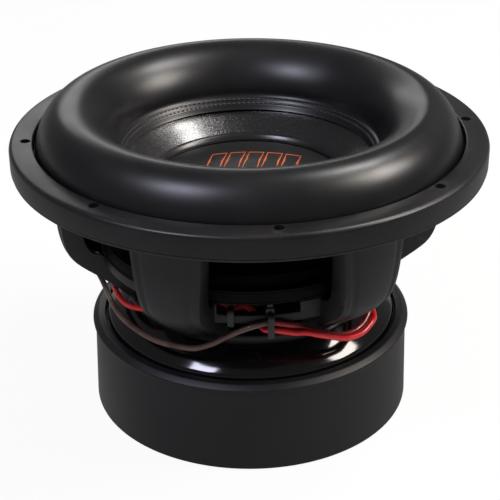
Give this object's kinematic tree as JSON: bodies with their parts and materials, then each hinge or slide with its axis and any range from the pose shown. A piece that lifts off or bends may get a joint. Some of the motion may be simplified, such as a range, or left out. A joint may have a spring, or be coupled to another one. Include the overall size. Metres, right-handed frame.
{
  "type": "car subwoofer speaker",
  "caption": "Round bare car subwoofer driver: wide rubber surround, stitched cone with domed cap, open cast basket, stacked magnets in a rubber boot, push terminals joined by leads.",
  "frame": {"origin": "centre of the boot's flat bottom, on the speaker's axis", "axes": "+Z along the speaker's axis, from the magnet boot up to the surround; -Y points to the window where the front leads are tied; terminals on the +X and -X halves, towards +Y"},
  "size_m": [0.32, 0.32, 0.2211],
  "materials": {
    "cast_paint": "satin black paint on a casting",
    "trim_paint": "satin black",
    "surround_rubber": "semi-gloss black rubber",
    "boot_rubber": "matt black rubber",
    "pressed_paper": "black coated pressed paper",
    "gloss_ring": "gloss black",
    "thread": "black thread",
    "spider_cloth": "resin-treated black cloth",
    "spacer_plastic": "matt black",
    "former_film": "black glass-fibre sheet",
    "coil_wire": "enamelled copper wire",
    "copper": "bare copper",
    "black_steel": "gloss black plating",
    "ferrite": "sintered ferrite",
    "screen_steel": "black perforated sheet",
    "screw_steel": "black oxide",
    "terminal_plastic": "moulded black",
    "contact_brass": "gold-coloured plating",
    "button_red": "red",
    "button_black": "black",
    "tinsel_braid": "tinned copper braid on cloth",
    "wire_red": "red sleeve",
    "wire_brown": "dark brown sleeve",
    "tie_nylon": "black nylon"
  },
  "bodies": {
    "frame": {"basket": "cast_paint", "brown_wire": "wire_brown", "cable_tie_front": "tie_nylon", "cable_tie_inner": "tie_nylon", "frame_bolt_1": "screw_steel", "frame_bolt_2": "screw_steel", "frame_bolt_3": "screw_steel", "frame_bolt_4": "screw_steel", "frame_bolt_5": "screw_steel", "frame_bolt_6": "screw_steel", "magnet_boot": "boot_rubber", "magnet_lower": "ferrite", "magnet_upper": "ferrite", "pole_yoke": "black_steel", "red_wire": "wire_red", "shorting_ring": "copper", "spider_lower": "spider_cloth", "spider_spacer_ring": "spacer_plastic", "spider_upper": "spider_cloth", "surround": "surround_rubber", "terminal_body_left": "terminal_plastic", "terminal_body_right": "terminal_plastic", "terminal_contact_black_left": "contact_brass", "terminal_contact_black_right": "contact_brass", "terminal_contact_red_left": "contact_brass", "terminal_contact_red_right": "contact_brass", "terminal_screw_left_1": "screw_steel", "terminal_screw_left_2": "screw_steel", "terminal_screw_right_1": "screw_steel", "terminal_screw_right_2": "screw_steel", "tinsel_lead_black_left": "tinsel_braid", "tinsel_lead_black_right": "tinsel_braid", "tinsel_lead_red_left": "tinsel_braid", "tinsel_lead_red_right": "tinsel_braid", "top_plate": "black_steel", "trim_ring": "trim_paint", "vent_screen": "screen_steel"},
    "cone": {"cone": "pressed_paper", "dust_cap": "pressed_paper", "dust_cap_ring": "gloss_ring", "stitching_outer": "thread", "stitching_inner": "thread", "coil_former": "former_film", "voice_coil_inner": "coil_wire", "voice_coil_outer": "coil_wire"},
    "button_black_left": {"button_black_left": "button_black"},
    "button_black_right": {"button_black_right": "button_black"},
    "button_red_left": {"button_red_left": "button_red"},
    "button_red_right": {"button_red_right": "button_red"}
  },
  "joints": [
    {"name": "cone_travel", "type": "slide", "parent": "frame", "child": "cone", "axis": [0, 0, 1], "range_m": [-0.016, 0.016], "stiffness_N_per_m": 8000, "deforming": ["surround", "spider_lower", "spider_upper", "tinsel_lead_black_left", "tinsel_lead_black_right", "tinsel_lead_red_left", "tinsel_lead_red_right"]},
    {"name": "button_black_left_press", "type": "slide", "parent": "frame", "child": "button_black_left", "axis": [0.866, -0.5, 0], "range_m": [0, 0.003], "stiffness_N_per_m": 150},
    {"name": "button_black_right_press", "type": "slide", "parent": "frame", "child": "button_black_right", "axis": [-0.866, -0.5, 0], "range_m": [0, 0.003], "stiffness_N_per_m": 150},
    {"name": "button_red_left_press", "type": "slide", "parent": "frame", "child": "button_red_left", "axis": [0.866, -0.5, 0], "range_m": [0, 0.003], "stiffness_N_per_m": 150},
    {"name": "button_red_right_press", "type": "slide", "parent": "frame", "child": "button_red_right", "axis": [-0.866, -0.5, 0], "range_m": [0, 0.003], "stiffness_N_per_m": 150}
  ]
}
